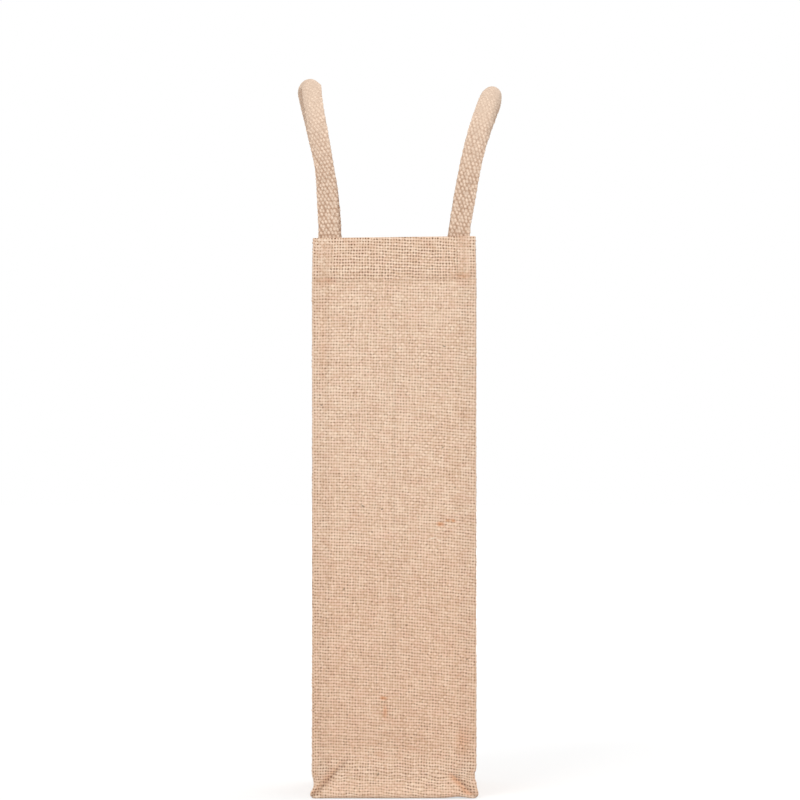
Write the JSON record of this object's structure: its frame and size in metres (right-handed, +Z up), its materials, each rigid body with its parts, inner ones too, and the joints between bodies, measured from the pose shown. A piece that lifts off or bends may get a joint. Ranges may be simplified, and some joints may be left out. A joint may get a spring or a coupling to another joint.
{
  "type": "bottle carrier",
  "caption": "Tall square bag of woven jute that carries a bottle, with a stitched hem round its open mouth and a soft webbing loop handle on each side.",
  "frame": {"origin": "middle of the underside of the base", "axes": "+Z up the height of the bag, -Y towards the front panel, +X to the right as the front is seen"},
  "size_m": [0.1331, 0.1036, 0.4623],
  "materials": {
    "jute_cloth": "open plain weave of hairy jute yarn",
    "jute_webbing": "close-woven jute webbing",
    "thread": "spun sewing thread"
  },
  "bodies": {
    "bag": {"main_panel": "jute_cloth", "left_gusset": "jute_cloth", "right_gusset": "jute_cloth", "front_left_handle_end": "jute_webbing", "back_left_handle_end": "jute_webbing", "front_right_handle_end": "jute_webbing", "back_right_handle_end": "jute_webbing", "hem_stitching": "thread", "left_gusset_stitching": "thread", "left_gusset_overlock": "thread", "front_left_handle_stitching": "thread", "back_left_handle_stitching": "thread", "right_gusset_stitching": "thread", "right_gusset_overlock": "thread", "front_right_handle_stitching": "thread", "back_right_handle_stitching": "thread"},
    "left_handle": {"left_handle": "jute_webbing"},
    "right_handle": {"right_handle": "jute_webbing"}
  },
  "joints": [
    {"name": "left_handle_swing", "type": "hinge", "parent": "bag", "child": "left_handle", "pos_m": [-0.0425, 0, 0.36505], "axis": [0, -1, 0], "range_deg": [-29, 85]},
    {"name": "right_handle_swing", "type": "hinge", "parent": "bag", "child": "right_handle", "pos_m": [0.0425, 0, 0.36505], "axis": [0, 1, 0], "range_deg": [-33.5, 85]}
  ]
}
